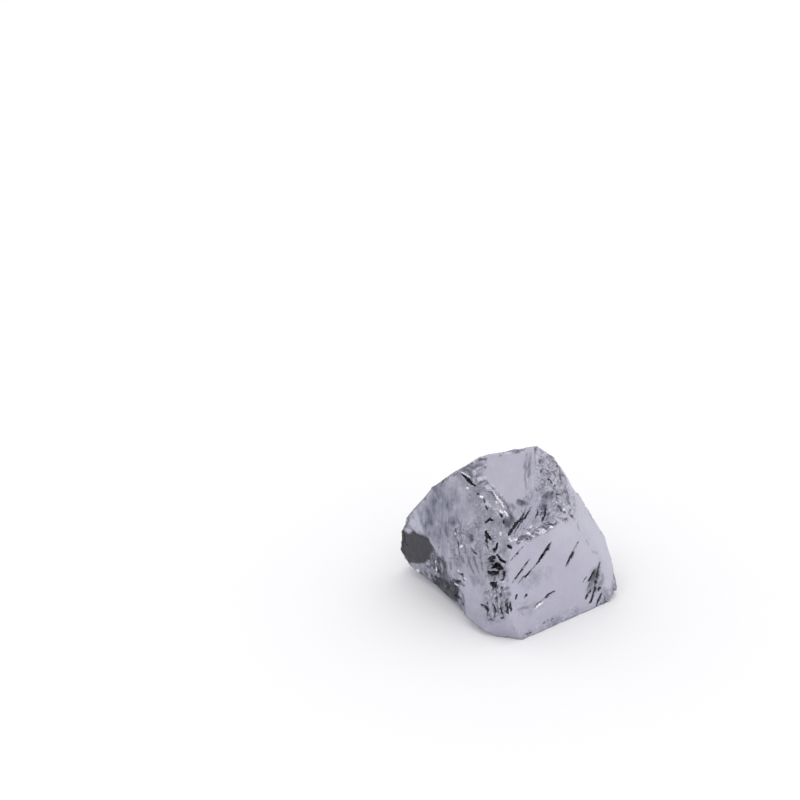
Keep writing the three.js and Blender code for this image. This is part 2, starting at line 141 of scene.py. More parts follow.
# Zones with a finish of their own: face, softness of the border, what changes, and the corners across and up from the
# face's middle, in millimetres. A later zone is laid over the earlier ones. Only zones are pale, which is the share
# that their tone goes to the painted glint colour, as painted light.
ZONES = (
    # The dark facet at the left end, whose darkness is a painted dark reflection, and the streaked slope under it.
    ("left_facet", 0.2, {"dark": 0.95, "dull": 0.6, "crystal": 0.0, "streak": 0.01, "facet": 0.01},
     ((-22, -5.4), (-17.3, -4.5), (-15.4, -4.9), (-14.0, -3.5), (-9.9, -3.2), (-8.2, -4.2), (-8.4, -5.8),
      (-9.9, -7.6), (-11.6, -9.6), (-16.8, -12.4), (-22, -13))),
    ("left_slope", 0.5, {"dark": 0.25, "slate": 0.85},
     ((-6.0, -5.5), (-1.5, -4.5), (-0.5, -9.1), (-2.0, -13.5), (-8.5, -14.0), (-8.5, -9.2))),
    # Painted dark reflection of shade: the darkest lower edge of the slope.
    ("left_slope", 0.5, {"dark": 0.8, "slate": 1.0, "crystal": 0.8},
     ((-4.1, -10.7), (0, -8.9), (3.3, -8.0), (1.9, -12.2), (-2.2, -14.4), (-7.0, -12.9))),
    # The left face: its slate side, mottled middle, pale low part and pale tip.
    ("front_left", 1.4, {"slate": 0.62, "crystal": 0.03, "facet": 0.01},
     ((-15.0, -3.5), (-11.6, 1.7), (-8.7, 4.3), (-4.8, 4.2), (-2.0, 0.7), (-2.1, -3.6), (-5.7, -7.3),
      (-11.5, -7.3))),
    ("front_left", 1.0, {"slate": 0.25, "crystal": 0.75, "facet": 0.1, "streak": 0.08},
     ((-4.2, -2.2), (2.5, 0.8), (5.2, -0.6), (6.4, -4.2), (4.8, -8.1), (-0.2, -10.9), (-3.7, -7.8))),
    ("front_left", 1.0, {"slate": 0.18, "crystal": 0.05, "lined": 0.7, "facet": 0.01},
     ((-0.2, -8.3), (5.7, -6.9), (8.4, -10.1), (8.1, -17.0), (3.5, -18.0), (0.1, -13.7))),
    ("front_left", 0.4, {"slate": 0.06, "crystal": 0.02, "lined": 0.3},
     ((-17.8, -9.0), (-15.6, -5.2), (-14.3, -3.4), (-12.9, -5.3), (-11.6, -7.4), (-13.9, -7.7), (-14.7, -8.5))),
    # The fan of streaks on it and the fan's foot, the dark spot, and the seam with its hole.
    ("front_left", 0.6, {"slate": 0.32, "lined": 1.0, "crystal": 0.06},
     ((0.3, -6.8), (2.4, -4.9), (5.3, -4.8), (6.5, -7.1), (7.3, -8.9), (5.8, -10.6), (4.0, -11.1), (2.6, -10.0),
      (1.1, -8.5))),
    ("front_left", 0.4, {"slate": 0.5}, ((3.7, -9.9), (6.3, -8.5), (7.3, -8.9), (5.8, -10.6), (4.0, -11.1))),
    ("front_left", 0.2, {"dark": 0.7},
     ((0.7, -3.0), (1.0, -2.3), (1.7, -2.2), (2.1, -3.0), (1.9, -3.8), (1.2, -3.9))),
    # Painted shade round the hole of the seam.
    ("front_left", 0.4, {"dark": 0.25},
     ((6.2, -5.0), (7.6, -4.6), (9.0, -6.0), (8.8, -8.0), (7.0, -8.2), (6.2, -6.6))),
    ("front_left", 0.6, {"slate": 0.18, "crystal": 0.85, "facet": 0.16, "lined": 0.3},
     ((3.9, -0.2), (6.7, 0.4), (10.9, -5.0), (14.0, -14.6), (8.8, -16.7), (7.3, -12.8), (7.6, -7.9),
      (5.7, -4.9))),
    # The crest over the seam, with its shades and spot.
    ("upper_front", 0.3, {"slate": 0.3, "crystal": 0.3, "facet": 0.05, "lined": 0.8},
     ((-6.1, 2.2), (-4.7, 1.7), (-2.0, 1.2), (0.7, -1.7), (2.3, -3.5), (0.5, -5.5), (-3.1, -2.1))),
    ("upper_front", 0.2, {"dark": 0.4, "slate": 0.5, "crystal": 0.1},
     ((0.8, -3.7), (2.5, -2.9), (3.0, -3.8), (2.1, -5.3), (1.1, -5.4))),
    ("upper_front", 0.3, {"slate": 0.7, "crystal": 0.05},
     ((0.6, -0.5), (1.7, -0.5), (2.6, -1.6), (2.1, -2.9), (1.2, -1.8))),
    ("upper_front", 0.3, {"dark": 0.65},
     ((2.4, -0.3), (2.7, 0.4), (4.2, 0.4), (4.6, -0.1), (3.8, -0.8), (2.8, -0.8))),
    # Smooth corners of the rough hollow.
    ("rough_hollow", 0.6, {"slate": 0.03, "crystal": 0.05, "facet": 0.01},
     ((0.0, 13.0), (1.8, 12.0), (0.1, 7.6), (-2.2, 4.7), (-4.3, 3.9), (-5.3, 4.0))),
    ("rough_hollow", 0.4, {"slate": 0.04, "crystal": 0.05, "facet": 0.02},
     ((4.9, -0.2), (4.4, -1.9), (3.4, -2.7), (4.2, -6.5), (6.7, -3.6), (6.4, -0.1))),
    # The streaked band and the broken left border of the upper face.
    ("upper_front", 0.6, {"slate": 0.08, "lined": 0.8, "streak": 0.03},
     ((2.3, 11.4), (4.1, 11.6), (5.5, 2.8), (4.0, 1.9))),
    ("upper_front", 0.4, {"slate": 0.35, "crystal": 0.3, "facet": 0.06},
     ((-9.5, 4.5), (-8.5, 6.5), (-6.0, 7.2), (-4.0, 7.6), (-3.8, 6.0), (-4.6, 4.2), (-2.8, 2.6), (-1.6, 1.5),
      (-2.2, 0.8), (-5.0, 1.6))),
    # The right face: its lined and rough hollows, and the ledge under them.
    ("front_right", 0.3, {"slate": 0.2, "lined": 1.0, "crystal": 0.05, "streak": 0.1},
     ((-9.5, -0.6), (-7.1, 3.9), (-2.3, 6.8), (-0.8, 6.2), (-0.3, 3.2), (-2.4, 0.2), (-6.9, -0.8))),
    ("front_right", 0.4, {"slate": 0.32, "crystal": 0.8, "facet": 0.14},
     ((-0.6, 6.4), (7.7, 2.8), (5.5, -0.2), (1.6, -0.6), (-2.1, 0.1), (-1.1, 2.8))),
    ("front_right", 0.2, {"slate": 0.08, "crystal": 1.0, "facet": 0.16},
     ((-9.2, 0.4), (-6.4, -0.2), (-2.1, 0.2), (2.0, -0.7), (4.6, -0.6), (1.8, -1.5), (-4.7, -2.1), (-9.0, -1.8))),
    # The slits at its right foot, its broken foot, two finely rough patches, and the crumbled corner.
    ("front_right", 1.0, {"slate": 0.5, "lined": 1.0},
     ((8.4, -12.6), (11.5, -11.6), (12.0, -14.1), (10.2, -17.0), (7.5, -16.8))),
    ("front_right", 0.5, {"dark": 0.6},
     ((9.2, -12.9), (11.2, -12.3), (10.9, -14.4), (9.7, -15.6), (8.6, -14.6))),
    ("front_right", 0.5, {"slate": 0.25, "crystal": 0.4, "facet": 0.07},
     ((-9.5, -18.8), (-4.0, -18.8), (0.5, -18.0), (5.0, -18.6), (5.0, -21.5), (-9.5, -21.5))),
    ("front_right", 0.6, {"slate": 0.16, "crystal": 0.35, "lined": 0.3, "facet": 0.04},
     ((-10.4, -12.4), (-5.4, -13.2), (-3.4, -14.8), (-5.9, -16.0), (-9.6, -14.7))),
    ("front_right", 0.6, {"slate": 0.2, "crystal": 0.35, "lined": 0.3, "facet": 0.04},
     ((-9.1, -8.2), (-4.3, -7.6), (-0.3, -8.6), (-1.0, -10.6), (-7.0, -10.8))),
    ("front_right", 0.4, {"slate": 0.5, "crystal": 0.5, "facet": 0.1},
     ((11.4, -17.0), (14.6, -17.6), (14.6, -21.0), (10.4, -21.0))),
    # Painted light: where it and the bevel beside it are palest.
    ("front_right", 3.0, {"pale": 0.16},
     ((1.0, -2.0), (4.0, 2.0), (8.0, 1.0), (11.0, -9.0), (8.0, -12.0), (6.0, -6.5), (2.0, -5.5))),
    ("right_bevel", 0.5, {"pale": 0.12}, ((-10.0, -25.0), (20.0, -25.0), (20.0, 15.0), (-10.0, 15.0))),
    # Rough corners of the sides that don't show.
    ("right_back", 0.5, ROUGH,
     ((4.0, -11.0), (8.0, -13.0), (14.0, -8.0), (14.0, -28.0), (3.0, -28.0), (5.5, -18.0))),
    ("back", 0.5, ROUGH,
     ((-15.0, -9.0), (-9.0, -12.5), (-6.5, -17.0), (-8.0, -22.0), (-17.0, -22.0))),
    ("top", 0.5, ROUGH,
     ((-10.0, -4.0), (-6.2, -6.0), (-4.5, -10.5), (-2.0, -13.0), (-3.0, -17.0), (-12.0, -16.0))),
    ("back_left", 0.5, ROUGH,
     ((-11.0, -8.0), (-6.5, -10.5), (-4.0, -14.5), (1.0, -16.0), (4.0, -19.0), (4.5, -23.0), (-11.0, -23.0))),
    ("back_left", 0.5, ROUGH, ((12.0, -5.0), (8.0, -8.0), (7.0, -12.5), (9.0, -15.5), (12.0, -16.5))),
    ("back_left", 0.4, ROUGH, ((-4.0, -1.0), (-2.5, -4.0), (1.5, -5.6), (5.0, -4.2), (6.5, -1.0))),
)

# Marks that show from the front, by face: width, depth, and the points that the mark runs through, which are across
# and up from the face's middle, all in millimetres. A slit's darkness is painted shade, and a depth below zero is a
# lip, raised a little, whose brightness is a painted glint.
MARKS = {
    "front_right": (
        # Long slits across the face.
        (0.5, 0.5, ((0.6, -4.1), (-0.7, -5.2), (-2.2, -6.2), (-3.6, -7.1))),
        (0.25, 0.3, ((-3.0, -6.7), (-5.3, -7.9), (-7.2, -8.6), (-8.7, -9.4))),
        (0.3, 0.35, ((-4.8, -5.5), (-6.6, -6.6), (-8.4, -7.8), (-9.9, -8.7))),
        (0.2, 0.2, ((-5.9, -2.5), (-7.6, -3.5), (-9.7, -4.5))),
        (0.25, 0.3, ((7.7, -5.5), (6.2, -6.9), (4.7, -8.6))),
        (0.45, 0.45, ((6.2, -6.9), (4.7, -8.6), (3.1, -9.7))),
        # The cluster of slits and soft strokes at the right foot.
        (0.7, 0.5, ((11.9, -11.5), (11.2, -13.0), (10.4, -14.5), (9.6, -15.9))),
        (0.6, 0.5, ((9.8, -15.6), (9.1, -17.3), (8.3, -18.2), (7.5, -18.7))),
        (0.7, 0.5, ((10.3, -12.8), (9.2, -13.7), (8.2, -14.5))),
        (0.4, 0.14, ((9.4, -15.1), (8.2, -15.2))),
        (0.5, 0.4, ((8.6, -16.1), (7.6, -16.9), (7.0, -17.6))),
        (0.7, 0.14, ((11.9, -14.0), (11.9, -15.2), (11.4, -16.2))),
        (0.45, 0.3, ((11.1, -16.1), (10.4, -17.3))),
        (0.5, 0.4, ((11.2, -17.6), (10.2, -18.8), (9.4, -19.9))),
        (0.25, 0.2, ((8.0, -13.1), (7.0, -14.3))),
        (0.4, 0.3, ((12.5, -17.4), (12.8, -17.9))),
        (0.4, 0.3, ((12.0, -19.5), (12.3, -19.9))),
        (0.3, 0.14, ((11.6, -18.3), (11.9, -19.4))),
        # Shallow dashes along the crease to the bevel, darkened with painted shade.
        (0.2, 0.1, ((6.4, 0.2), (7.1, -1.9))),
        (0.3, 0.1, ((7.3, -2.7), (7.8, -4.0))),
        (0.2, 0.1, ((9.0, -6.1), (9.5, -7.6))),
        (0.25, 0.1, ((10.1, -8.8), (11.6, -10.0))),
        # Slits, dashes and ticks low on the face.
        (0.4, 0.4, ((0.2, -13.5), (-1.6, -13.7), (-2.8, -14.1))),
        (0.25, 0.2, ((-2.6, -14.1), (-4.5, -14.4), (-5.7, -15.0))),
        (0.4, 0.1, ((-9.5, -14.0), (-8.3, -14.1), (-6.8, -14.4))),
        (0.3, -0.1, ((-3.0, -14.5), (-4.5, -14.8), (-5.9, -15.4))),
        (0.3, 0.3, ((-6.7, -11.8), (-7.5, -12.6))),
        (0.25, 0.3, ((-9.0, -11.2), (-9.7, -11.9))),
        (0.3, 0.3, ((-3.4, -18.4), (-3.9, -19.0))),
        (0.25, 0.3, ((-2.5, -18.2), (-3.1, -18.9))),
        (0.22, 0.3, ((-1.3, -18.4), (-1.9, -18.9))),
        (0.3, 0.3, ((-8.5, -19.3), (-6.9, -19.3))),
        # Slits of the hollow above the ledge.
        (0.4, 0.4, ((-2.3, 3.7), (-4.2, 2.0), (-6.0, 1.0), (-7.8, 0.0))),
        (0.5, 0.35, ((1.1, 2.4), (0.8, 0.8), (0.1, -0.3))),
        (0.35, 0.2, ((-0.7, 2.5), (-1.5, 0.9))),
        (0.25, 0.2, ((0.9, -0.6), (2.0, -1.2), (3.1, -0.9))),
        (0.4, 0.3, ((4.8, 0.7), (5.3, 0.0))),
        # The last teeth of the comb, beside the seam.
        (0.7, 0.5, ((-11.5, -11.0), (-11.7, -13.8))),
        (0.55, 0.5, ((-10.7, -11.8), (-11.0, -14.0))),
        (0.8, 0.14, ((-11.3, -10.1), (-10.4, -10.7))),
        (0.4, 0.3, ((-9.5, -11.9), (-8.9, -11.2))),
        # Lips along the ledge, bright as painted glints.
        (0.3, -0.1, ((-6.5, -1.6), (-5.5, -1.6))),
        (0.35, -0.1, ((-5.2, -2.2), (-4.5, -2.2))),
        (0.55, -0.1, ((-4.1, -0.9), (-3.5, -1.4), (-3.1, -1.8))),
        (0.35, -0.1, ((-3.2, -0.2), (-1.9, -0.2))),
        (0.45, -0.1, ((-1.6, -0.8), (-0.9, -1.1), (-0.2, -1.6))),
        (0.45, -0.1, ((-2.0, -1.4), (-1.2, -1.6), (-0.4, -1.6))),
        (0.3, -0.1, ((-2.6, -0.8), (-2.2, -1.2))),
        (0.35, -0.1, ((0.1, -1.1), (1.6, -1.4))),
    ),
    "upper_front": (
        # The lip over the seam, its brightness a painted glint, with its painted shade.
        (0.3, -0.05, ((-2.2, 1.2), (-1.2, 0.3), (-0.2, -0.6), (0.3, -1.6))),
        (0.35, 0.14, ((-2.4, 1.0), (-1.3, -0.1), (-0.6, -0.7))),
        (0.35, -0.1, ((-1.5, -0.4), (-0.8, -0.7))),
        # Soft strokes along the left border.
        (0.4, 0.12, ((-8.5, 5.0), (-7.2, 4.2), (-6.3, 3.1))),
        (0.35, 0.12, ((-8.1, 5.4), (-6.5, 5.3), (-5.4, 6.0))),
        (0.35, 0.12, ((-6.2, 6.4), (-4.4, 7.3))),
        (0.35, 0.1, ((-5.8, 3.7), (-4.7, 4.0))),
        (0.45, 0.1, ((-5.3, 1.9), (-3.9, 2.8), (-3.1, 2.4))),
        (0.35, 0.1, ((-2.6, 2.0), (-1.9, 1.6))),
        # Streaks beside the rough hollow, and a slit under them.
        (0.25, 0.1, ((3.0, 9.2), (3.0, 6.8), (3.5, 4.3), (4.1, 2.3))),
        (0.2, 0.1, ((3.8, 9.4), (3.7, 6.8), (4.0, 4.9))),
        (0.45, 0.4, ((4.1, -2.3), (3.0, -4.6), (2.0, -6.3))),
    ),
    "rough_hollow": (
        # Lips and a slit at the foot.
        (0.45, -0.1, ((2.0, -1.7), (2.5, -1.9))),
        (0.35, -0.1, ((2.1, -0.6), (2.5, -1.0))),
        (0.4, 0.4, ((1.1, -0.4), (1.8, -1.7))),
        # Soft strokes between the crystals, and a slit.
        (0.4, 0.14, ((5.4, 5.5), (4.6, 3.5), (4.5, 2.6))),
        (0.5, 0.14, ((5.1, 1.2), (4.7, -1.5))),
        (0.5, 0.14, ((-1.6, 5.2), (-1.4, 4.5), (-0.1, 4.9))),
        (0.45, 0.14, ((-2.0, 2.9), (-1.3, 2.6), (-0.3, 2.8))),
        (0.45, 0.14, ((0.2, 2.6), (0.9, 2.0))),
        (0.35, 0.2, ((0.2, 5.2), (1.3, 4.7), (1.6, 3.8))),
    ),
    "left_brow": (
        # The notch at the top and its lip.
        (0.35, -0.1, ((-8.7, 5.5), (-7.5, 4.9), (-5.7, 4.1))),
        (0.7, 0.5, ((-8.3, 5.0), (-6.4, 3.9), (-4.6, 2.9))),
        # Lips and slits down to the seam.
        (0.45, -0.1, ((-3.5, 1.4), (-2.8, 1.3))),
        (0.35, -0.1, ((-6.5, 2.6), (-5.9, 2.4))),
        (0.35, 0.3, ((-4.1, 1.9), (-3.6, 1.7))),
        (0.35, 0.25, ((-2.8, 1.2), (-2.3, 0.3))),
        (0.35, 0.25, ((-1.9, 0.0), (-1.3, -1.0))),
        (0.45, 0.3, ((-1.4, -3.4), (-0.7, -2.4), (0.3, -2.5))),
        (0.45, -0.1, ((1.6, -0.3), (2.1, -0.8), (2.6, -1.3))),
        (0.35, -0.1, ((0.8, -0.4), (1.4, -0.8))),
        (0.35, 0.3, ((0.8, -0.9), (1.6, -1.7))),
        (0.4, 0.3, ((1.9, -1.8), (2.2, -2.9))),
        (0.4, 0.4, ((4.3, -1.9), (4.0, -3.1), (3.6, -4.6))),
        (0.4, -0.1, ((1.8, -4.5), (2.3, -5.1))),
        (0.4, -0.1, ((3.5, -5.2), (4.4, -5.5))),
        (0.4, -0.1, ((4.5, -4.9), (5.1, -5.3))),
        (0.7, 0.3, ((3.7, -6.5), (4.7, -6.8))),
        (0.65, 0.6, ((-1.3, -4.8), (-0.5, -5.4), (0.3, -6.0))),
        (0.4, 0.4, ((1.8, -6.3), (1.7, -7.2), (1.0, -8.2))),
    ),
    "left_slope": (
        # Lips and streaks of the slope.
        (0.5, -0.1, ((-5.6, -7.2), (-5.5, -9.0), (-6.3, -10.7))),
        (0.7, -0.1, ((-12.8, -13.4), (-10.9, -11.8))),
        (0.6, 0.14, ((-7.5, -7.4), (-7.5, -10.0))),
        (0.6, 0.14, ((-4.4, -6.4), (-4.2, -8.5), (-4.6, -11.0))),
        (0.8, 0.14, ((-3.3, -6.0), (-3.1, -8.5), (-3.1, -9.9))),
        (0.4, 0.3, ((0.4, -8.6), (3.3, -7.4))),
        (0.4, -0.1, ((1.0, -9.0), (2.8, -8.4))),
    ),
    "front_left": (
        # The row of slits and lips down the middle.
        (0.35, 0.3, ((-3.4, -2.8), (-2.8, -3.9))),
        (0.4, 0.3, ((-2.2, -4.6), (-1.5, -5.9))),
        (0.35, 0.3, ((-1.4, -6.2), (-0.9, -7.4))),
        (0.35, -0.1, ((-3.4, -3.6), (-3.0, -3.8))),
        (0.35, -0.1, ((-1.1, -5.8), (-0.5, -5.0))),
        (0.35, -0.1, ((-0.7, -10.1), (0.3, -10.3))),
        (0.35, -0.1, ((0.9, -10.9), (1.8, -10.9))),
        (0.4, 0.25, ((-0.4, -10.7), (0.7, -10.5), (1.4, -11.4))),
        # Soft strokes, and the fan of streaks.
        (0.45, 0.14, ((-3.1, -9.3), (-2.4, -10.8))),
        (0.5, 0.14, ((-0.2, -4.8), (0.7, -6.2))),
        (0.5, 0.14, ((0.5, -12.2), (1.9, -12.3))),
        (0.35, 0.14, ((0.8, -6.2), (2.0, -7.7), (3.3, -9.1))),
        (0.35, 0.14, ((2.5, -5.9), (3.7, -7.3), (4.7, -8.5))),
        (0.35, 0.14, ((4.0, -4.9), (5.0, -6.4), (5.8, -7.7))),
        # Slits at the head of the seam.
        (0.45, 0.4, ((4.1, -0.1), (4.9, -1.6), (5.4, -2.8))),
        (0.4, 0.3, ((1.6, -4.8), (2.6, -5.2), (3.5, -5.1))),
        (0.5, 0.5, ((4.7, -1.8), (5.4, -2.4), (5.9, -3.3))),
        (0.5, 0.5, ((6.4, -4.7), (6.8, -5.2), (7.6, -4.8))),
        (0.45, 0.5, ((6.5, -4.8), (7.2, -4.3), (7.6, -3.9))),
        (0.6, 0.5, ((7.8, -3.5), (8.6, -4.1), (10.0, -4.3))),
        # The hole of the seam.
        (0.75, 0.7, ((7.2, -6.4), (8.1, -5.5), (9.1, -5.3))),
        (0.65, 0.7, ((8.0, -6.2), (8.8, -5.8), (9.8, -5.6))),
        (0.65, 0.7, ((6.6, -7.4), (7.7, -7.2), (8.8, -6.8))),
        (0.5, 0.6, ((7.7, -7.8), (8.1, -7.2), (8.7, -6.7))),
        (0.3, 0.4, ((9.8, -5.7), (10.3, -6.6), (10.4, -7.4), (9.6, -8.1))),
        # Slits and soft strokes under the hole.
        (0.65, 0.6, ((8.0, -9.1), (8.7, -9.0), (8.8, -9.7))),
        (0.5, 0.5, ((9.4, -8.4), (8.9, -9.1), (9.0, -10.4))),
        (0.35, 0.4, ((9.6, -9.7), (10.2, -10.8), (10.1, -11.9))),
        (0.7, 0.14, ((11.4, -8.9), (12.7, -8.8))),
        (0.3, 0.14, ((6.9, -11.6), (7.8, -11.0), (8.1, -10.5))),
        # The teeth of the comb.
        (0.45, 0.5, ((6.5, -14.0), (7.8, -14.0), (8.4, -14.5), (8.8, -15.5))),
        (0.5, 0.5, ((9.4, -12.6), (10.2, -13.7), (10.6, -14.9))),
        (0.3, 0.4, ((11.7, -12.4), (12.1, -14.0))),
        (0.35, 0.4, ((12.5, -12.5), (12.7, -13.7))),
        (0.35, 0.25, ((9.1, -15.9), (10.2, -15.5))),
        (0.3, 0.2, ((11.4, -14.9), (12.4, -14.0))),
    ),
}
MARK_SINK = 1.6  # these marks and the zones reach whatever lies less deep than this under their face
STRAY_SINK = 0.4  # and stray marks, and zones of cut facets, whatever lies less deep than this
MARK_SHAKE = ((0.9, 0.14), (0.35, 0.07))  # how the marks stray from a smooth course: size and distance
MARK_FAR = 0.6  # beyond this distance from every mark, in millimetres, the finish doesn't heed them
MARK_EASE = 0.1  # how far the sides of a mark slope out past its border, in millimetres
STROKE_DEPTH = 0.16  # a mark that is shallower than this is a soft stroke of tone, not a slit
STROKE_FADE = 0.3  # how far its border fades, in millimetres
STROKE_DARK = 0.55  # and how dark it goes
ZONE_SHAKE = ((1.3, 0.45), (0.5, 0.2))  # how the borders of the zones stray: size and distance
ZONE_SHARP = 0.4  # a border that is sharper than this strays less

# Relief: real sizes in millimetres, and how wide the creases between streaks and between facets are, as a share of
# their size. Each size of facet has its share of the height.
SWELL_SIZE = 5.0
STREAK_LENGTH = 4.0
STREAK_WIDTH = 0.8
STREAK_RIM = 0.15
FACET_SIZES = ((0.9, 0.9), (2.8, 1.6))
FACET_RIM = 0.12

# Walls of cuts, which have facets and a crystal finish: how far they turn from their face, as one less the cosine
# of the angle, at least and in full, and the height of their facets in millimetres.
WALL_TURN = (0.03, 0.25)
WALL_FACET = 0.08

# Hollows go dark as painted shade: where they begin and are full, in millimetres under the evened surface, how often
# the surface is evened out for that, and how dark they go.
HOLLOW_DEPTHS = (0.08, 0.6)
HOLLOW_ROUNDS = 12
PAINTED_HOLLOW_SHADE = 0.8

FINISH_ROUNDS = {"lined": 2, "crystal": 1, "dull": 2, "slate": 1}  # how often these are evened out

# Finish: real sizes in millimetres of the fine lines along and across the streaks, of the clouds of tone, of the
# swirls, and of the crystals with the slope of each size.
LINE_STRETCH = (1 / 3.6, 1 / 0.32, 1)
LINE_DEPTH = 0.12
CLOUD_SIZE = 2.2
CLOUD_SHARE = 0.5  # how far the tone goes by clouds
SWIRL_SIZE = 0.9
SWIRL_DEPTH = 0.16
CRYSTALS = ((1.2, 0.8), (0.5, 0.45))
SHARD_SHARE = 0.45  # how far the tone of rough breaks goes by whole crystals, and not by swirls
TONE_GAIN = 5.0  # how strongly the tone goes up and down on a smooth break
CRYSTAL_GAIN = 13.0  # and what a crystalline one adds to that
DEEP_SLATE = (0.75, 1.4)  # past slate, the tone goes on to black between these shares
DEEP_DARK = 0.85  # and this far
MARK_FADE = 0.07  # how far the borders of slits and lips fade, in millimetres
MARK_RAG = 0.6  # how far the swirls make those borders ragged, in millimetres
# Painted shade: slits are darkened towards the shade colour by this share.
PAINTED_SLIT_SHADE = 0.9  # how dark slits go
SLIT_DEPTH = 0.8  # how steeply the finish deepens a slit
POLISH = (0.1, 0.4)  # roughness of the clearest and of the dullest break
NOISE_MIDDLE = 0.5

# The camera, as the photograph was taken: its place in millimetres in the row frame, its dip and its lens.
CAMERA_PLACE = (-20.86, -315.97, 187.37)
CAMERA_DIP = 25.0
CAMERA_LENS = 85.0
CAMERA_NEAR = 0.01  # it sees nothing closer than this, in metres

# Dark flags and a bright panel of the light tent: direction, the angles from it within which the change is full and
# beyond which there is none, in degrees, and what the light there is multiplied by.
TENT = (
    (CAMERA_PLACE, 12, 28, 0.4),  # hood round the camera
    ((-1.0, -0.1, 0.3), 18, 36, 0.5),  # flag on the left
    ((0.55, 1.0, 0.4), 12, 36, 0.4),  # flag at the back right
    ((-0.75, 1.0, 0.5), 10, 34, 0.5),  # flag at the back left
    ((0.0, 0.15, 1.0), 22, 36, 1.4),  # panel overhead
)
FLOOR_LIGHT = 1.12  # how strongly the tent lights what isn't a mirror

# The ball grid that is drawn onto the solid: its middle from the heart and its radius, in millimetres, and how
# far its front is turned up, in degrees.
GRID_MIDDLE = np.array((0, 6, -6))
GRID_RADIUS = 45.0
GRID_RISE = 15.0

RANDOM_TABLE = 64  # random values repeat after this many cells
SWELL_SEED = 3
STREAK_SEED = 5
STRAY_SEED = 7
FACET_SEED = 8
SHAKE_SEEDS = (11, 12)
CHIP_SEED = 21

# Each face has its own part of the random patterns: how many cells, or millimetres for the grain, the parts of two
# faces lie apart.
SWELL_APART = 7
STREAK_APART = 5
FACET_APART = 9
GRAIN_APART = 100.0


def linear(hex_colour):
    """The linear red, green and blue of an sRGB hex colour."""
    srgb = np.array([int(hex_colour[place:place + 2], 16) for place in (1, 3, 5)]) / 255
    return tuple(np.where(srgb <= 0.04045, srgb / 12.92, ((srgb + 0.055) / 1.055) ** 2.4))


def ease(low, high, value):
    """A smooth step from 0 at low to 1 at high."""
    share = np.clip((value - low) / (high - low), 0, 1)
    return share * share * (3 - 2 * share)


class StoneFinish(PropertyGroup):
    """Sizes and colours of the stone's surface."""

    cells: IntProperty(
        name="Cells", description="Cells along each side of the surface grid", default=128, min=16, max=128)
    lead: FloatProperty(
        name="Front lead", description="How far the grid is drawn to the front, where the finest breaks are",
        default=0.45, min=0, max=0.6, subtype="FACTOR")
    bright: FloatVectorProperty(
        name="Bright silicon", description="Colour of a clean fracture face",
        default=linear("#BBB9C8"), size=3, min=0, max=1, subtype="COLOR")
    slate: FloatVectorProperty(
        name="Slate", description="Colour that lined and rough faces go towards",
        default=linear("#6A6D7E"), size=3, min=0, max=1, subtype="COLOR")
    # Painted shade: this colour darkens slits, pits and hollows where shade falls, and makes the dark facet at the
    # left end a painted dark reflection; it also deepens the random mottle of rough breaks.
    shade: FloatVectorProperty(
        name="Painted shade", description="Colour of dull faces and of the depths of slits and pits",
        default=linear("#39383D"), size=3, min=0, max=1, subtype="COLOR")
    # Painted glint: this colour brightens the lips of slits and ledges as painted highlights, and the pale zones of
    # the right face and bevel as painted light.
    painted_glint: FloatVectorProperty(
        name="Painted glint", description="Colour of the fresh lips of slits and ledges",
        default=linear("#F1F0F6"), size=3, min=0, max=1, subtype="COLOR")


class StudioLook(PropertyGroup):
    """The colour and the size of the pale floor."""

    floor: FloatVectorProperty(
        name="Floor", description="Colour of the pale floor",
        default=linear("#F4F4F6"), size=3, min=0, max=1, subtype="COLOR")
    floor_radius: FloatProperty(
        name="Floor radius", description="How far the floor runs from the stone", default=4.0, unit="LENGTH")


def face_frames(rows):
    """Outward, rightward and upward directions of the faces, and their reach from the heart in millimetres."""
    facing, tilt, reach = np.array([row[1:4] for row in rows], float).T
    facing, tilt = np.radians(facing), np.radians(tilt)
    out = np.stack([np.sin(facing) * np.cos(tilt), -np.cos(facing) * np.cos(tilt), np.sin(tilt)], -1)
    across = np.stack([np.cos(facing), np.sin(facing), np.zeros_like(facing)], -1)
    return out, across, np.cross(out, across), reach


def ball_grid(cells, lead):
    """Directions over a ball, and the quads between them.

    Each side of a cube holds a square grid of equal angles: tan(angle) on two axes and one on the third. The
    shared borders are welded. The directions are then drawn to the front by adding lead times -Y to each, and
    turned about X, so that they lie closest on the faces that look up to the front.
    """
    steps = np.arange(cells + 1)
    a, b = np.meshgrid(steps, steps, indexing="ij")
    low, high = np.zeros_like(a), np.full_like(a, cells)
    sides = ((high, a, b), (low, b, a), (b, high, a), (a, low, b), (a, b, high), (b, a, low))
    lattice = np.stack([np.stack(side, -1) for side in sides]).reshape(-1, 3)
    keys = lattice @ np.array([1, cells + 1, (cells + 1) ** 2])
    _, first, index = np.unique(keys, return_index=True, return_inverse=True)
    index = index.reshape(6, cells + 1, cells + 1)
    quads = np.stack([index[:, :-1, :-1], index[:, 1:, :-1], index[:, 1:, 1:], index[:, :-1, 1:]], -1)
    ways = np.tan((2 * lattice[first] / cells - 1) * np.pi / 4)
    ways /= np.linalg.norm(ways, axis=1, keepdims=True)
    ways += lead * np.array((0, -1, 0))
    ways /= np.linalg.norm(ways, axis=1, keepdims=True)
    rise = np.radians(GRID_RISE)
    turn = np.array(((1, 0, 0), (0, np.cos(rise), np.sin(rise)), (0, -np.sin(rise), np.cos(rise))))
    return ways @ turn.T, quads.reshape(-1, 4)


def mesh_from(name, places, quads):
    """A mesh object from an array of places in metres and an array of quads."""
    mesh = bpy.data.meshes.new(name)
    mesh.from_pydata(places, [], quads)
    piece = bpy.data.objects.new(name, mesh)
    bpy.context.scene.collection.objects.link(piece)
    return piece


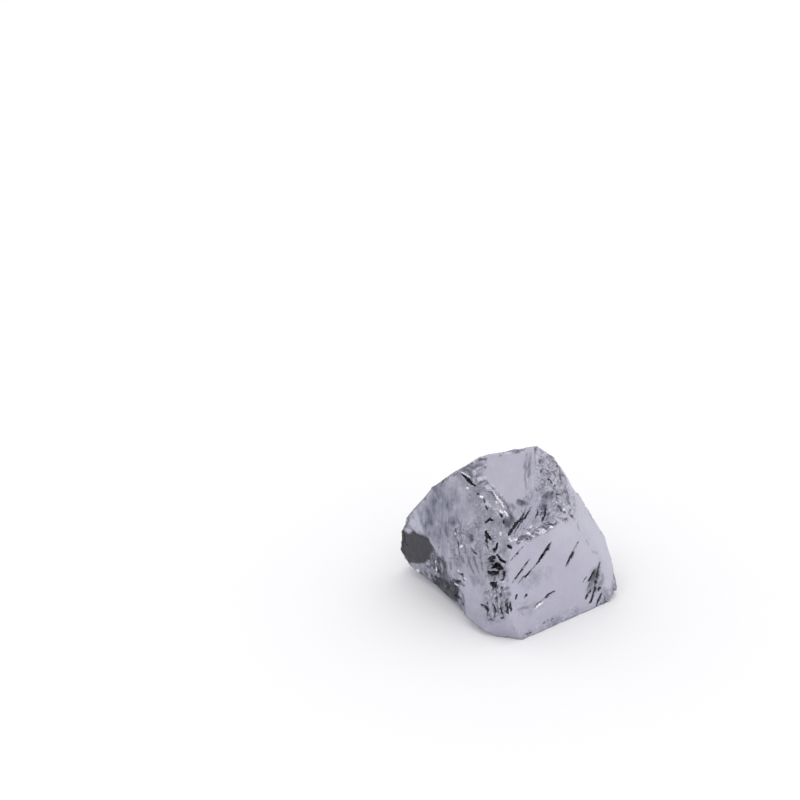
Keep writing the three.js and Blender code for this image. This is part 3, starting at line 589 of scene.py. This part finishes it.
def drawn_onto(node, centre, ways, quads, start):
    """Where a ball of radius start round centre lands when each of its points is drawn inwards onto a node."""
    ball = mesh_from("ball", centre + ways * start, quads)
    wrap = ball.modifiers.new("draw_in", "SHRINKWRAP")
    wrap.target = node
    wrap.wrap_method = "PROJECT"
    wrap.use_negative_direction = True
    wrap.use_positive_direction = False
    landed = ball.evaluated_get(bpy.context.evaluated_depsgraph_get()).data
    places = np.empty(len(ways) * 3)
    landed.vertices.foreach_get("co", places)
    bpy.data.objects.remove(ball)
    return places.reshape(-1, 3)


def random_at(seed, kinds):
    """A function that gives each whole-numbered cell its own repeatable random values between 0 and 1."""
    table = np.random.default_rng(seed).random((RANDOM_TABLE, RANDOM_TABLE, kinds))
    return lambda x, y: table[x.astype(int) % RANDOM_TABLE, y.astype(int) % RANDOM_TABLE]


def swell(x, y, seed):
    """Smooth heights from -1 to 1: a random value at each whole number, eased in between."""
    value = random_at(seed, 1)
    x0, y0 = np.floor(x), np.floor(y)
    ex, ey = ease(0, 1, x - x0), ease(0, 1, y - y0)
    rows = [value(x0, y0 + up)[..., 0] * (1 - ex) + value(x0 + 1, y0 + up)[..., 0] * ex for up in (0, 1)]
    return 2 * (rows[0] * (1 - ey) + rows[1] * ey) - 1


def facets(x, y, seed, rim):
    """Heights of a broken surface: cells round jittered points, each one a little plane that leans its own way.

    Height is the lean times the offset from the cell's point, plus the cell's own level, and it eases to zero
    within rim of the border between two cells, so that the planes meet in creases.
    """
    values = random_at(seed, 5)
    near = np.full(x.shape, np.inf)
    second = np.full(x.shape, np.inf)
    height = np.zeros(x.shape)
    for step_x in (-1, 0, 1):
        for step_y in (-1, 0, 1):
            cell_x, cell_y = np.floor(x) + step_x, np.floor(y) + step_y
            value = values(cell_x, cell_y)
            off_x, off_y = x - cell_x - value[..., 0], y - cell_y - value[..., 1]
            far = np.hypot(off_x, off_y)
            plane = (2 * value[..., 2] - 1) * off_x + (2 * value[..., 3] - 1) * off_y + value[..., 4] - 0.5
            closer = far < near
            second = np.where(closer, near, np.minimum(second, far))
            height = np.where(closer, plane, height)
            near = np.where(closer, far, near)
    return height * ease(0, rim, second - near)


def spread(values, quads, rounds):
    """Values evened out over the surface: each round averages every point with the quads around it."""
    count = np.bincount(quads.ravel(), minlength=len(values))
    for _ in range(rounds):
        middle = values[quads].mean(axis=1)
        values = np.bincount(quads.ravel(), np.repeat(middle, 4), minlength=len(values)) / count
    return values


def outward(places, quads):
    """The outward direction at every point: the sum of the crossed diagonals of the quads around it."""
    corner = places[quads]
    crossed = np.cross(corner[:, 2] - corner[:, 0], corner[:, 3] - corner[:, 1])
    total = np.stack([
        np.bincount(quads.ravel(), np.repeat(crossed[:, axis], 4), minlength=len(places)) for axis in range(3)], -1)
    return total / np.linalg.norm(total, axis=1, keepdims=True)


def mark_reach(u, v, width, points):
    """How far each place is inside a mark, in millimetres, and below zero outside it.

    The mark is a lens along a line of points: half its width times the root of 4 s (1 - s), s being the share
    of its length, less the distance to the line.
    """
    points = np.array(points)
    runs = np.linalg.norm(np.diff(points, axis=0), axis=1)
    starts = np.concatenate([(0,), np.cumsum(runs)])
    reach = np.full(u.shape, -np.inf)
    for (u0, v0), (u1, v1), begun, run in zip(points[:-1], points[1:], starts, runs):
        share = np.clip(((u - u0) * (u1 - u0) + (v - v0) * (v1 - v0)) / run ** 2, 0, 1)
        far = np.hypot(u - u0 - share * (u1 - u0), v - v0 - share * (v1 - v0))
        gone = (begun + share * run) / starts[-1]
        reach = np.maximum(reach, width * np.sqrt(gone * (1 - gone)) - far)
    return reach


def zone_depth(u, v, corners):
    """How far each place is inside a zone, in millimetres, and below zero outside it.

    It is the distance to the nearest side. A place is inside if a line from it crosses the sides an odd number
    of times.
    """
    far = np.full(u.shape, np.inf)
    within = np.zeros(u.shape, bool)
    for (u0, v0), (u1, v1) in zip(corners, (*corners[1:], corners[0])):
        share = np.clip(((u - u0) * (u1 - u0) + (v - v0) * (v1 - v0)) / ((u1 - u0) ** 2 + (v1 - v0) ** 2), 0, 1)
        far = np.minimum(far, np.hypot(u - u0 - share * (u1 - u0), v - v0 - share * (v1 - v0)))
        if v0 != v1:
            within ^= ((v0 > v) != (v1 > v)) & (u < u0 + (v - v0) * (u1 - u0) / (v1 - v0))
    return np.where(within, far, -far)


def shaken(u, v, shakes):
    """How far each place is shifted across and up by smooth random waves of the given sizes."""
    return [sum(far * swell(u / size, v / size, seed) for size, far in shakes) for seed in SHAKE_SEEDS]


def stray_marks(row, draw):
    """Random marks along the streaks of a face: face, width, depth, points and how deep the mark reaches."""
    count, length, width, depth = SCATTER[row[4]]
    for _ in range(count):
        angle = np.radians(row[5] + draw.uniform(-SCATTER_FAN, SCATTER_FAN))
        begin = draw.uniform(-SCATTER_REACH, SCATTER_REACH, 2)
        end = begin + draw.uniform(*length) * np.array((np.cos(angle), np.sin(angle)))
        yield row[0], draw.uniform(*width), depth * draw.uniform(*SCATTER_DEPTHS), (begin, end), STRAY_SINK


def all_marks():
    """The marks that show from the front, and stray marks on the rough or curved faces that have none."""
    draw = np.random.default_rng(STRAY_SEED)
    shown = [(name, *mark, MARK_SINK) for name, marks in MARKS.items() for mark in marks]
    bare = [row for row in FACES if row[0] not in MARKS and row[4] in SCATTER]
    return shown + [mark for row in bare for mark in stray_marks(row, draw)]


def crease_wear(beyond, names):
    """How far each point is worn round, from 0 to 1: most where the faces of a soft crease lie equally deep."""
    top = beyond.max(axis=1)
    share = np.zeros(len(beyond))
    for one, other, depth in SOFT_CREASES:
        low = np.minimum(beyond[:, names.index(one)], beyond[:, names.index(other)])
        share = np.maximum(share, ease(depth, 0, top - low))
    return share


def crease_chips(places, beyond):
    """How chipped each point is, from 0 to 1: most where two faces lie equally deep, in uneven runs."""
    ranked = np.partition(beyond, -2, axis=1)
    x, y, z = places.T / CHIP_LENGTH
    clear = CHIP_GAPS - CHIP_RUNS * swell(x + z, y - z, CHIP_SEED)
    return ease(CHIP_REACH, 0, ranked[:, -1] - ranked[:, -2] + CHIP_REACH * clear)


def on_face(places, frames, index):
    """Where places lie across and up from the middle of a face, in millimetres."""
    _, across, up, _ = frames
    away = places - HEART
    return away @ across[index], away @ up[index]


def lay_zones(amount, base, beyond, names, frames):
    """Mixes the finish of the zones into that of the faces.

    A point's share of a zone eases from 0 to 1 over the zone's border, which strays in smooth waves, and fades with
    the distance from the zone's face.
    """
    for name, soft, finishes, corners in ZONES:
        index = names.index(name)
        deepest = MARK_SINK if index < len(FACES) else STRAY_SINK
        here = np.flatnonzero(np.abs(beyond[:, index]) < deepest)
        u, v = on_face(base[here], frames, index)
        shake_u, shake_v = shaken(u, v, ZONE_SHAKE)
        stray = min(1, soft / ZONE_SHARP)
        share = ease(-soft, soft, zone_depth(u + stray * shake_u, v + stray * shake_v, corners))
        share *= ease(deepest, deepest / 2, np.abs(beyond[here, index]))
        for key, value in finishes.items():
            amount[key][here] += (value - amount[key][here]) * share


def sink_marks(amount, base, beyond, names, frames):
    """How far each point is inside a slit, and inside a lip, and how far the marks sink it, in millimetres.

    A mark sinks its points by its depth times the share of half its width that they are inside it, and the deepest
    mark counts. A soft stroke darkens the finish, and is no slit.
    """
    cleft, lip = np.full((2, len(base)), -MARK_FAR)
    sink = np.zeros(len(base))
    for name, width, depth, points, deepest in all_marks():
        index = names.index(name)
        here = np.flatnonzero(np.abs(beyond[:, index]) < deepest)
        u, v = on_face(base[here], frames, index)
        shake_u, shake_v = shaken(u, v, MARK_SHAKE)
        inside = mark_reach(u + shake_u, v + shake_v, width, points)
        if 0 < depth < STROKE_DEPTH:
            stroke = STROKE_DARK * ease(-STROKE_FADE, STROKE_FADE, inside)
            amount["dark"][here] = np.maximum(amount["dark"][here], stroke)
        else:
            kept = cleft if depth > 0 else lip
            kept[here] = np.maximum(kept[here], inside)
        sunk = depth * np.clip((inside + MARK_EASE) / (width / 2 + MARK_EASE), 0, 1)
        sink[here] = np.where(np.abs(sunk) > np.abs(sink[here]), sunk, sink[here])
    return cleft, lip, sink


def stone_surface(finish):
    """Places in metres, quads, and the finish values of the stone's surface.

    A ball grid is drawn onto the solid. A point belongs to the face that it lies least deep under, or to the cut
    that it is on, and moves along the outward direction there by the swell, streaks and facets of its kind of break,
    and down into the marks.
    """
    ways, quads = ball_grid(finish.cells, finish.lead)
    rows = (*FACES, *CUTS)
    names = [row[0] for row in rows]
    frames = face_frames(rows)
    out, across, up, reach = frames
    centre = HEART + GRID_MIDDLE
    base = drawn_onto(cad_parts["stone"], centre * MM, ways, quads, GRID_RADIUS * MM) / MM

    # The face of each point, and where cuts have walls, creases are worn and edges are chipped.
    beyond = (base - HEART) @ out.T - reach
    whole = beyond[:, :len(FACES)]
    face = whole.argmax(axis=1)
    base -= out[face] * np.maximum(whole.max(axis=1), 0)[:, None]
    host = names.index(CUT_FACE)
    for cut in range(len(FACES), len(rows)):
        on_cut = (np.abs(beyond[:, cut]) < CUT_NEAR) & (face == host) & (beyond[:, host] < -CUT_DEEP)
        face = np.where(on_cut, cut, face)
    wall = ease(*WALL_TURN, 1 - (outward(base, quads) * out[face]).sum(axis=1))
    wear = crease_wear(whole, names)
    chips = crease_chips(base, whole) * (1 - wear)
    even = np.stack([spread(base[:, axis], quads, SOFT_ROUNDS) for axis in range(3)], -1)
    base += (even - base) * wear[:, None]

    # How much of each finish and relief it has.
    amount = {key: np.array([BREAKS[row[4]][key] for row in rows])[face] for key in BREAKS["mirror"]}
    amount["pale"] = np.zeros(len(base))
    lay_zones(amount, base, beyond, names, frames)
    for key, least in CHIPPED.items():
        amount[key] = np.maximum(amount[key], least * chips)

    # The relief, on each face's own directions and along and across its streaks.
    u = ((base - HEART) * across[face]).sum(axis=1)
    v = ((base - HEART) * up[face]).sum(axis=1)
    angle = np.radians(np.array([row[5] for row in rows])[face])
    along = u * np.cos(angle) + v * np.sin(angle)
    aside = v * np.cos(angle) - u * np.sin(angle)
    lift = amount["swell"] * swell(u / SWELL_SIZE + face * SWELL_APART, v / SWELL_SIZE, SWELL_SEED)
    lift += amount["streak"] * facets(
        along / STREAK_LENGTH + face * STREAK_APART, aside / STREAK_WIDTH, STREAK_SEED, STREAK_RIM)
    rough = np.maximum(amount["facet"], WALL_FACET * wall)
    for size, share in FACET_SIZES:
        lift += rough * share * facets(u / size + face * FACET_APART, v / size, FACET_SEED, FACET_RIM)
    cleft, lip, sink = sink_marks(amount, base, beyond, names, frames)
    places = base + out[face] * (lift - sink)[:, None]
    places[:, 2] = np.maximum(places[:, 2], 0)

    far = np.linalg.norm(places - centre, axis=1)
    # Painted shade: points that lie deeper than the evened surface are darkened.
    painted_hollow_shade = ease(*HOLLOW_DEPTHS, spread(far, quads, HOLLOW_ROUNDS) - far)
    amount["crystal"] = np.maximum(amount["crystal"], wall)
    values = {key: spread(amount[key], quads, rounds) for key, rounds in FINISH_ROUNDS.items()}
    values |= {
        "cleft": cleft,
        "lip": lip,
        "dark": np.maximum(amount["dark"], PAINTED_HOLLOW_SHADE * painted_hollow_shade),
        "pale": amount["pale"],
        "grain": np.stack([along, aside, face * GRAIN_APART], -1),
    }
    return places * MM, quads, values


def add_node(tree, kind, inputs=None, **settings):
    """Adds a node with its settings. An input that is a socket, or a node for its first output, is linked.

    Inputs go by name, and by number where a node names several alike: a mix node takes its share as 0, the numbers
    that it mixes as 2 and 3 and the colours as 6 and 7.
    """
    node = tree.nodes.new(kind)
    for name, value in settings.items():
        setattr(node, name, value)
    for name, value in (inputs or {}).items():
        if isinstance(value, bpy.types.Node):
            value = value.outputs[0]
        if isinstance(value, bpy.types.NodeSocket):
            tree.links.new(value, node.inputs[name])
        else:
            node.inputs[name].default_value = value
    return node


def fractured_silicon(finish):
    """Polycrystalline silicon, broken and left bare.

    It gives the eye a cool grey metal mirror with a lavender cast, clear on clean breaks and satin where the break is
    rough, with fine lines and crystal facets that glint. Slits, pits and hollows go dark as painted shade, dark zones
    carry painted dark reflections, and lips and pale zones go white as painted glints.
    """
    material = bpy.data.materials.new("fractured_silicon")
    material.use_nodes = True
    tree = material.node_tree
    tree.nodes.clear()
    place = add_node(tree, "ShaderNodeTexCoord").outputs["Object"]
    grain = add_node(tree, "ShaderNodeAttribute", attribute_name="grain").outputs["Vector"]
    amount = {
        name: add_node(tree, "ShaderNodeAttribute", attribute_name=name).outputs["Fac"]
        for name in ("cleft", "lip", "lined", "crystal", "dull", "slate", "dark", "pale")}

    # Fine lines along the streaks of each face, clouds of tone, and worm-like swirls on the rough breaks.
    stretch = add_node(tree, "ShaderNodeVectorMath", {0: grain, 1: LINE_STRETCH}, operation="MULTIPLY")
    lines = add_node(tree, "ShaderNodeTexNoise", {"Vector": stretch, "Scale": 1.0, "Detail": 6.0, "Roughness": 0.75})
    cloud = add_node(tree, "ShaderNodeTexNoise", {"Vector": place, "Scale": 1 / (CLOUD_SIZE * MM), "Detail": 4.0})
    swirl = add_node(tree, "ShaderNodeTexNoise", {
        "Vector": place, "Scale": 1 / (SWIRL_SIZE * MM), "Detail": 3.0, "Distortion": 2.0})

    # Height: crystals, each a little plane that leans its own way, so that it glints on its own; then the swirls, the
    # fine lines and the slits.
    crystals = [
        add_node(tree, "ShaderNodeTexVoronoi", {"Vector": place, "Scale": 1 / (size * MM)}) for size, _ in CRYSTALS]
    height = 0.0
    for cells, (_, slope) in zip(crystals, CRYSTALS):
        offset = add_node(
            tree, "ShaderNodeVectorMath", {0: place, 1: cells.outputs["Position"]}, operation="SUBTRACT")
        lean = add_node(
            tree, "ShaderNodeVectorMath", {0: cells.outputs["Color"], 1: (NOISE_MIDDLE,) * 3}, operation="SUBTRACT")
        plane = add_node(tree, "ShaderNodeVectorMath", {0: offset, 1: lean}, operation="DOT_PRODUCT")
        height = add_node(
            tree, "ShaderNodeMath", {0: plane.outputs["Value"], 1: slope, 2: height}, operation="MULTIPLY_ADD")
    height = add_node(tree, "ShaderNodeMath", {0: swirl, 1: SWIRL_DEPTH * MM, 2: height}, operation="MULTIPLY_ADD")
    height = add_node(tree, "ShaderNodeMath", {0: height, 1: amount["crystal"]}, operation="MULTIPLY")
    ridge = add_node(tree, "ShaderNodeMath", {0: lines, 1: amount["lined"]}, operation="MULTIPLY")
    height = add_node(tree, "ShaderNodeMath", {0: ridge, 1: LINE_DEPTH * MM, 2: height}, operation="MULTIPLY_ADD")
    stray = add_node(tree, "ShaderNodeMath", {0: swirl, 1: NOISE_MIDDLE}, operation="SUBTRACT")
    ragged = {
        name: add_node(tree, "ShaderNodeMath", {0: stray, 1: MARK_RAG, 2: amount[name]}, operation="MULTIPLY_ADD")
        for name in ("cleft", "lip")}
    cleft = add_node(tree, "ShaderNodeMath", {0: ragged["cleft"], 1: 0.0}, operation="MAXIMUM")
    height = add_node(tree, "ShaderNodeMath", {0: cleft, 1: -SLIT_DEPTH * MM, 2: height}, operation="MULTIPLY_ADD")
    relief = add_node(tree, "ShaderNodeBump", {"Strength": 1.0, "Distance": 1.0, "Height": height})

    # Tone: bright silicon that goes to slate in the lines, swirls, crystals and clouds of the rougher breaks, to
    # black in slits, hollows and dark zones as painted shade and painted dark reflection, and to white on lips and
    # pale zones as painted glints.
    broken = add_node(tree, "ShaderNodeMix", {
        0: SHARD_SHARE, 2: swirl.outputs[0], 3: crystals[0].outputs["Color"]}, data_type="FLOAT")
    grained = add_node(
        tree, "ShaderNodeMix", {0: amount["crystal"], 2: lines.outputs[0], 3: broken}, data_type="FLOAT")
    blotch = add_node(tree, "ShaderNodeMix", {0: CLOUD_SHARE, 2: grained, 3: cloud.outputs[0]}, data_type="FLOAT")
    gain = add_node(
        tree, "ShaderNodeMath", {0: amount["crystal"], 1: CRYSTAL_GAIN, 2: TONE_GAIN}, operation="MULTIPLY_ADD")
    middle = add_node(tree, "ShaderNodeMath", {0: blotch, 1: NOISE_MIDDLE}, operation="SUBTRACT")
    mottle = add_node(tree, "ShaderNodeMath", {0: middle, 1: gain, 2: 1.0}, operation="MULTIPLY_ADD")
    slate = add_node(tree, "ShaderNodeMath", {0: mottle, 1: amount["slate"]}, operation="MULTIPLY")
    cooled = add_node(tree, "ShaderNodeClamp", {"Value": slate})
    bright = add_node(tree, "ShaderNodeMix", {
        0: cooled, 6: (*finish.bright, 1), 7: (*finish.slate, 1)}, data_type="RGBA")
    deep = add_node(tree, "ShaderNodeMapRange", {
        "Value": slate, "From Min": DEEP_SLATE[0], "From Max": DEEP_SLATE[1], "To Max": DEEP_DARK})
    # Painted shade in the slits.
    slit = add_node(tree, "ShaderNodeMapRange", {
        "Value": ragged["cleft"], "From Min": -MARK_FADE, "From Max": MARK_FADE, "To Max": PAINTED_SLIT_SHADE})
    gloom = add_node(tree, "ShaderNodeMath", {0: slit, 1: amount["dark"]}, operation="MAXIMUM")
    gloom = add_node(tree, "ShaderNodeMath", {0: gloom, 1: deep}, operation="MAXIMUM")
    shaded = add_node(tree, "ShaderNodeMix", {
        0: gloom, 6: bright.outputs[2], 7: (*finish.shade, 1)}, data_type="RGBA")
    # Painted glints on the lips and painted light on the pale zones.
    painted_glint = add_node(tree, "ShaderNodeMapRange", {
        "Value": ragged["lip"], "From Min": -MARK_FADE, "From Max": MARK_FADE})
    painted_glint = add_node(tree, "ShaderNodeMath", {0: painted_glint, 1: amount["pale"]}, operation="MAXIMUM")
    colour = add_node(tree, "ShaderNodeMix", {
        0: painted_glint, 6: shaded.outputs[2], 7: (*finish.painted_glint, 1)}, data_type="RGBA")

    polish = add_node(
        tree, "ShaderNodeMapRange", {"Value": amount["dull"], "To Min": POLISH[0], "To Max": POLISH[1]})
    surface = add_node(tree, "ShaderNodeBsdfPrincipled", {
        "Base Color": colour.outputs[2], "Roughness": polish, "Normal": relief, "Metallic": 1.0})
    add_node(tree, "ShaderNodeOutputMaterial", {"Surface": surface})
    return material


def backdrop_white(look):
    """Matte white card for the floor: it gives the eye a plain pale ground that takes a soft shadow."""
    material = bpy.data.materials.new("matte_white_card")
    material.use_nodes = True
    tree = material.node_tree
    tree.nodes.clear()
    surface = add_node(tree, "ShaderNodeBsdfPrincipled", {"Base Color": (*look.floor, 1), "Roughness": 0.9})
    add_node(tree, "ShaderNodeOutputMaterial", {"Surface": surface})
    return material


class STONE_OT_lump(Operator):
    """Builds the stone's surface and its finish"""

    bl_idname = "stone.lump"
    bl_label = "Stone"

    def execute(self, context):
        finish = context.scene.stone_finish
        places, quads, values = stone_surface(finish)
        piece = mesh_from("fractured_stone", places, quads)
        mesh = piece.data
        for name, value in values.items():
            if value.ndim == 1:
                mesh.attributes.new(name, "FLOAT", "POINT").data.foreach_set("value", value)
            else:
                mesh.attributes.new(name, "FLOAT_VECTOR", "POINT").data.foreach_set("vector", value.ravel())
        mesh.shade_smooth()
        mesh.materials.append(fractured_silicon(finish))
        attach(piece, "root")
        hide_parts("stone")
        return {"FINISHED"}


class STONE_OT_studio(Operator):
    """Lays the floor and sets the light and the camera"""

    bl_idname = "stone.studio"
    bl_label = "Studio"

    def execute(self, context):
        look = context.scene.studio_look
        reach = look.floor_radius
        corners = np.array([(-reach, -reach, 0), (reach, -reach, 0), (reach, reach, 0), (-reach, reach, 0)])
        floor = mesh_from("pale_floor", corners, np.array([(0, 1, 2, 3)]))
        floor.data.materials.append(backdrop_white(look))
        light_tent(context.scene)
        camera = bpy.data.objects.new("camera", bpy.data.cameras.new("camera"))
        camera.data.lens = CAMERA_LENS
        camera.location = Vector(CAMERA_PLACE) * MM
        camera.rotation_euler = (np.radians(90 - CAMERA_DIP), 0, 0)
        camera.data.clip_start = CAMERA_NEAR
        context.scene.collection.objects.link(camera)
        context.scene.camera = camera
        return {"FINISHED"}


def light_tent(scene):
    """A white tent: an even pale sky with a bright panel overhead, and dark flags that the stone mirrors."""
    world = bpy.data.worlds.new("white_tent")
    scene.world = world
    world.use_nodes = True
    tree = world.node_tree
    tree.nodes.clear()
    way = add_node(tree, "ShaderNodeTexCoord").outputs["Generated"]
    light = 1.0
    for towards, full, none, share in TENT:
        facing = add_node(
            tree, "ShaderNodeVectorMath", {0: way, 1: Vector(towards).normalized()}, operation="DOT_PRODUCT")
        spot = add_node(tree, "ShaderNodeMapRange", {
            "Value": facing.outputs["Value"], "From Min": np.cos(np.radians(none)),
            "From Max": np.cos(np.radians(full)), "To Min": 1.0, "To Max": share}, interpolation_type="SMOOTHSTEP")
        light = add_node(tree, "ShaderNodeMath", {0: light, 1: spot.outputs[0]}, operation="MULTIPLY").outputs[0]
    mirrored = add_node(tree, "ShaderNodeLightPath").outputs["Is Glossy Ray"]
    shown = add_node(tree, "ShaderNodeMix", {0: mirrored, 2: FLOOR_LIGHT, 3: light}, data_type="FLOAT")
    sky = add_node(tree, "ShaderNodeBackground", {"Color": (1, 1, 1, 1), "Strength": shown.outputs[0]})
    add_node(tree, "ShaderNodeOutputWorld", {"Surface": sky.outputs[0]})
    scene.view_settings.view_transform = "Standard"


class STONE_PT_panel(Panel):
    """Lists the stone's settings and what builds it"""

    bl_idname = "STONE_PT_panel"
    bl_label = "Raw terahertz stone"
    bl_space_type = "VIEW_3D"
    bl_region_type = "UI"
    bl_category = "Stone"

    def draw(self, context):
        for owner in (context.scene.stone_finish, context.scene.studio_look):
            box = self.layout.box()
            for name in owner.__annotations__:
                box.prop(owner, name)
        self.layout.operator(STONE_OT_lump.bl_idname)
        self.layout.operator(STONE_OT_studio.bl_idname)


CLASSES = (StoneFinish, StudioLook, STONE_OT_lump, STONE_OT_studio, STONE_PT_panel)


def register():
    """Registers the classes and hangs their settings on the scene."""
    for one in CLASSES:
        bpy.utils.register_class(one)
    bpy.types.Scene.stone_finish = PointerProperty(type=StoneFinish)
    bpy.types.Scene.studio_look = PointerProperty(type=StudioLook)


def unregister():
    """Takes the settings and the classes away again."""
    del bpy.types.Scene.studio_look
    del bpy.types.Scene.stone_finish
    for one in reversed(CLASSES):
        bpy.utils.unregister_class(one)


def main():
    register()
    bpy.ops.stone.lump()
    bpy.ops.stone.studio()


if __name__ == "__main__":
    main()
